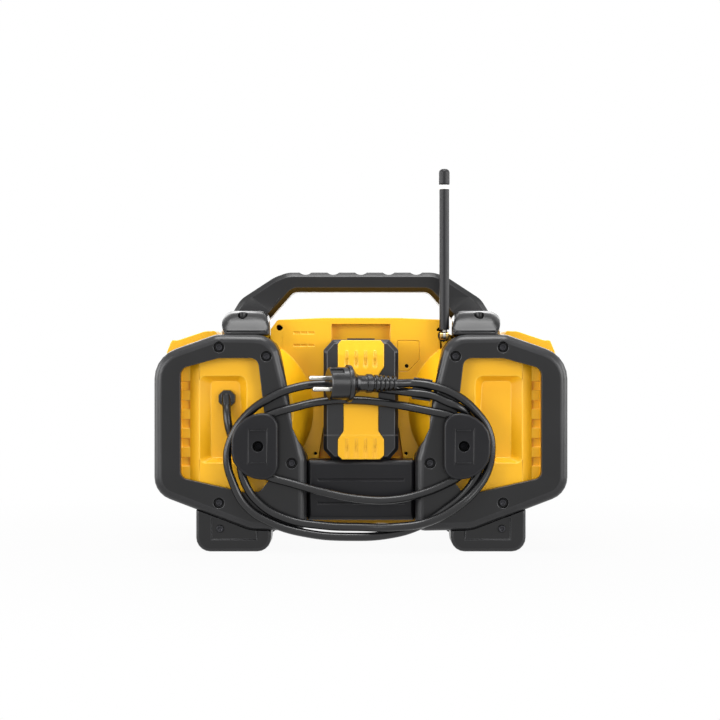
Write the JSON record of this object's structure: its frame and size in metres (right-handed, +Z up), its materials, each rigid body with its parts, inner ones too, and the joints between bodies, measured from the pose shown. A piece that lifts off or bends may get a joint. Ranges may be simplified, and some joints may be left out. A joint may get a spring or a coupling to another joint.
{
  "type": "jobsite radio",
  "caption": "Rugged table radio with a two-shell housing in corner bumpers, carry handle, rear battery, folding antenna and a mains cord wound on hooks.",
  "frame": {"origin": "middle of the footprint on the ground, leaving out the cord and its plug", "axes": "+X to the right seen from the front, +Y to the rear where the battery is, +Z up"},
  "size_m": [0.44, 0.2927, 0.4108],
  "materials": {
    "yellow_abs": "moulded, lightly grained",
    "bumper_rubber": "matt moulded",
    "black_plastic": "moulded, fine grain",
    "steel": "zinc plated",
    "nickel": "plated",
    "brass": "turned",
    "cable_rubber": "extruded cord jacket",
    "paper_cone": "pressed paper",
    "clear_window": "clear moulded",
    "lcd": "display module",
    "circuit_board": "glass-fibre board",
    "button_grey": "moulded"
  },
  "bodies": {
    "housing": {"front_housing": "yellow_abs", "rear_housing": "yellow_abs", "left_rear_bumper": "bumper_rubber", "right_rear_bumper": "bumper_rubber", "left_front_bumper": "bumper_rubber", "right_front_bumper": "bumper_rubber", "left_top_rail": "bumper_rubber", "right_top_rail": "bumper_rubber", "handle": "bumper_rubber", "lower_rear_panel": "black_plastic", "left_rear_foot": "bumper_rubber", "right_rear_foot": "bumper_rubber", "left_front_foot": "bumper_rubber", "right_front_foot": "bumper_rubber", "left_cord_hook": "black_plastic", "right_cord_hook": "black_plastic", "cord_hook_screws": "steel", "rear_bumper_screws": "steel", "front_bumper_screws": "steel", "housing_screws": "steel", "small_screws": "steel", "bay_terminal_block": "black_plastic", "coin_cell_door": "yellow_abs", "coin_cell": "nickel", "cord_gland": "cable_rubber", "power_cord": "cable_rubber", "plug_body": "cable_rubber", "plug_pins": "nickel", "cord_clip": "black_plastic", "antenna_base": "black_plastic", "left_speaker_grille": "black_plastic", "right_speaker_grille": "black_plastic", "left_speaker_basket": "steel", "right_speaker_basket": "steel", "left_speaker_cone": "paper_cone", "right_speaker_cone": "paper_cone", "control_panel": "black_plastic", "display_window": "clear_window", "display_module": "lcd", "control_board": "circuit_board", "rotary_encoders": "steel", "port_block": "black_plastic", "main_board": "circuit_board"},
    "volume_knob": {"volume_knob": "black_plastic"},
    "tuning_knob": {"tuning_knob": "black_plastic"},
    "power_button": {"power_button": "button_grey"},
    "source_button": {"source_button": "button_grey"},
    "preset_1_button": {"preset_1_button": "button_grey"},
    "preset_2_button": {"preset_2_button": "button_grey"},
    "preset_3_button": {"preset_3_button": "button_grey"},
    "preset_4_button": {"preset_4_button": "button_grey"},
    "port_door": {"port_door": "bumper_rubber"},
    "antenna_knuckle": {"antenna_knuckle": "brass"},
    "antenna_mast": {"antenna_rod": "brass", "antenna_sleeve": "bumper_rubber", "antenna_cap": "bumper_rubber"},
    "battery": {"battery_case": "black_plastic", "battery_cover": "yellow_abs", "battery_cells": "steel"},
    "battery_latch": {"battery_latch": "black_plastic"}
  },
  "joints": [
    {"name": "volume_turn", "type": "hinge", "parent": "housing", "child": "volume_knob", "pos_m": [-0.031, -0.131, 0.106], "axis": [0, -1, 0], "continuous": true},
    {"name": "tuning_turn", "type": "hinge", "parent": "housing", "child": "tuning_knob", "pos_m": [0.031, -0.131, 0.106], "axis": [0, -1, 0], "continuous": true},
    {"name": "power_press", "type": "slide", "parent": "housing", "child": "power_button", "axis": [0, 1, 0], "range_m": [0, 0.0015], "stiffness_N_per_m": 600, "springref_m": -0.0005},
    {"name": "source_press", "type": "slide", "parent": "housing", "child": "source_button", "axis": [0, 1, 0], "range_m": [0, 0.0015], "stiffness_N_per_m": 600, "springref_m": -0.0005},
    {"name": "preset_1_press", "type": "slide", "parent": "housing", "child": "preset_1_button", "axis": [0, 1, 0], "range_m": [0, 0.0015], "stiffness_N_per_m": 600, "springref_m": -0.0005},
    {"name": "preset_2_press", "type": "slide", "parent": "housing", "child": "preset_2_button", "axis": [0, 1, 0], "range_m": [0, 0.0015], "stiffness_N_per_m": 600, "springref_m": -0.0005},
    {"name": "preset_3_press", "type": "slide", "parent": "housing", "child": "preset_3_button", "axis": [0, 1, 0], "range_m": [0, 0.0015], "stiffness_N_per_m": 600, "springref_m": -0.0005},
    {"name": "preset_4_press", "type": "slide", "parent": "housing", "child": "preset_4_button", "axis": [0, 1, 0], "range_m": [0, 0.0015], "stiffness_N_per_m": 600, "springref_m": -0.0005},
    {"name": "port_door_hinge", "type": "hinge", "parent": "housing", "child": "port_door", "pos_m": [0, -0.1114, 0.071], "axis": [-1, 0, 0], "range_deg": [0, 100]},
    {"name": "antenna_swing", "type": "hinge", "parent": "housing", "child": "antenna_knuckle", "pos_m": [-0.0902, 0.067, 0.2303], "axis": [0, 1, 0], "range_deg": [0, 35]},
    {"name": "antenna_fold", "type": "hinge", "parent": "antenna_knuckle", "child": "antenna_mast", "pos_m": [-0.0902, 0.076, 0.2303], "axis": [-1, 0, 0], "range_deg": [0, 90]},
    {"name": "battery_slide", "type": "slide", "parent": "housing", "child": "battery", "axis": [0, 0, 1], "range_m": [0, 0.05]},
    {"name": "latch_press", "type": "slide", "parent": "battery", "child": "battery_latch", "axis": [0, 0, -1], "range_m": [0, 0.003], "stiffness_N_per_m": 800, "springref_m": -0.0005}
  ]
}
